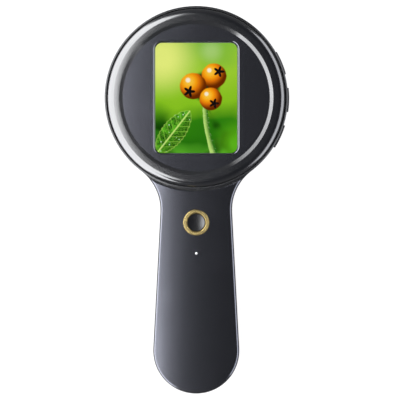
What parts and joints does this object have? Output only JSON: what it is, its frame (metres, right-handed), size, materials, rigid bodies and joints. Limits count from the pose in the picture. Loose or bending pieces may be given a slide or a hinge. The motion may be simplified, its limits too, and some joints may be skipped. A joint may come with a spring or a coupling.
{
  "type": "lcd digital microscope",
  "caption": "Hand-held lcd digital microscope: round screen head, tapered handle with shutter button, side keys, and a rear lens barrel with a turning focus ring.",
  "frame": {"origin": "centre of the lens barrel's front rim, on the optical axis and on the table the part lies on", "axes": "+Z out of the screen along the optical axis, +Y from the handle to the top of the head, +X to the keys on the right of the screen"},
  "size_m": [0.0685, 0.1436, 0.0234],
  "materials": {
    "shell_plastic": "satin moulded black",
    "panel_coat": "satin dark grey coat",
    "bezel_gloss": "gloss black",
    "face_coat": "semi-gloss dark grey",
    "clear_plate": "clear polished",
    "mask_print": "light grey print",
    "display_glass": "lit display",
    "guide_acrylic": "milky clear",
    "tray_steel": "pressed sheet",
    "flex_film": "amber film",
    "circuit_board": "green solder mask",
    "chip_black": "moulded black",
    "sensor_glass": "coated cover",
    "barrel_metal": "black anodised satin",
    "grip_rubber": "fluted matt",
    "lens_glass": "coated lens",
    "led_body": "white light emitter",
    "gold_trim": "gold coloured polish",
    "button_gloss": "gloss black",
    "key_plastic": "satin black",
    "switch_plastic": "moulded dark",
    "pipe_clear": "lit light guide",
    "cell_foil": "pouch foil",
    "foam": "closed cell foam",
    "port_steel": "plated shell",
    "screw_steel": "blackened steel"
  },
  "bodies": {
    "housing": {"rear_shell": "shell_plastic", "front_shell": "shell_plastic", "handle_panel": "panel_coat", "bezel_ring": "bezel_gloss", "face_disc": "face_coat", "face_tape": "foam", "screen_lens": "clear_plate", "screen_mask": "mask_print", "lcd_panel": "display_glass", "light_guide": "guide_acrylic", "lcd_tray": "tray_steel", "display_flex": "flex_film", "main_board": "circuit_board", "main_chips": "chip_black", "display_socket": "chip_black", "camera_board": "circuit_board", "board_link": "chip_black", "image_sensor": "sensor_glass", "sensor_shroud": "switch_plastic", "lens_barrel": "barrel_metal", "barrel_nut": "barrel_metal", "front_window": "clear_plate", "led_spacer": "switch_plastic", "led_board": "circuit_board", "led_emitters": "led_body", "led_lead": "flex_film", "button_ring": "gold_trim", "shutter_switch": "switch_plastic", "light_pipe": "pipe_clear", "status_led": "led_body", "side_carrier": "switch_plastic", "side_flex": "flex_film", "side_switches": "switch_plastic", "handle_board": "circuit_board", "link_flex": "flex_film", "battery": "cell_foil", "battery_pad": "foam", "usb_port": "port_steel", "card_socket": "port_steel", "housing_screws": "screw_steel", "board_screws": "screw_steel"},
    "focus": {"focus_ring": "grip_rubber"},
    "lens_carriage": {"lens_cell": "barrel_metal", "follower_pins": "port_steel", "objective_lens": "lens_glass", "lens_clamp": "barrel_metal"},
    "shutter": {"shutter_button": "button_gloss", "shutter_plunger": "switch_plastic"},
    "key_upper": {"side_button_upper": "key_plastic", "side_plunger_upper": "switch_plastic"},
    "key_middle": {"side_button_middle": "key_plastic", "side_plunger_middle": "switch_plastic"},
    "key_lower": {"side_button_lower": "key_plastic", "side_plunger_lower": "switch_plastic"}
  },
  "joints": [
    {"name": "focus_turn", "type": "hinge", "parent": "housing", "child": "focus", "pos_m": [0, 0, 0.0054], "axis": [0, 0, 1], "range_deg": [-90, 90]},
    {"name": "lens_slide", "type": "slide", "parent": "housing", "child": "lens_carriage", "axis": [0, 0, 1], "range_m": [-0.00091, 0.00091]},
    {"name": "shutter_press", "type": "slide", "parent": "housing", "child": "shutter", "axis": [0, 0, -1], "range_m": [0, 0.0004], "stiffness_N_per_m": 400, "springref_m": -0.0004},
    {"name": "key_upper_press", "type": "slide", "parent": "housing", "child": "key_upper", "axis": [-0.9232, -0.3843, 0], "range_m": [0, 0.0004], "stiffness_N_per_m": 400, "springref_m": -0.0004},
    {"name": "key_middle_press", "type": "slide", "parent": "housing", "child": "key_middle", "axis": [-0.9998, 0.0175, 0], "range_m": [0, 0.0004], "stiffness_N_per_m": 400, "springref_m": -0.0004},
    {"name": "key_lower_press", "type": "slide", "parent": "housing", "child": "key_lower", "axis": [-0.9092, 0.4163, 0], "range_m": [0, 0.0004], "stiffness_N_per_m": 400, "springref_m": -0.0004}
  ],
  "couplings": [
    {"joint": "lens_slide", "follows": "focus_turn", "m_per_rad": -0.00057296}
  ]
}
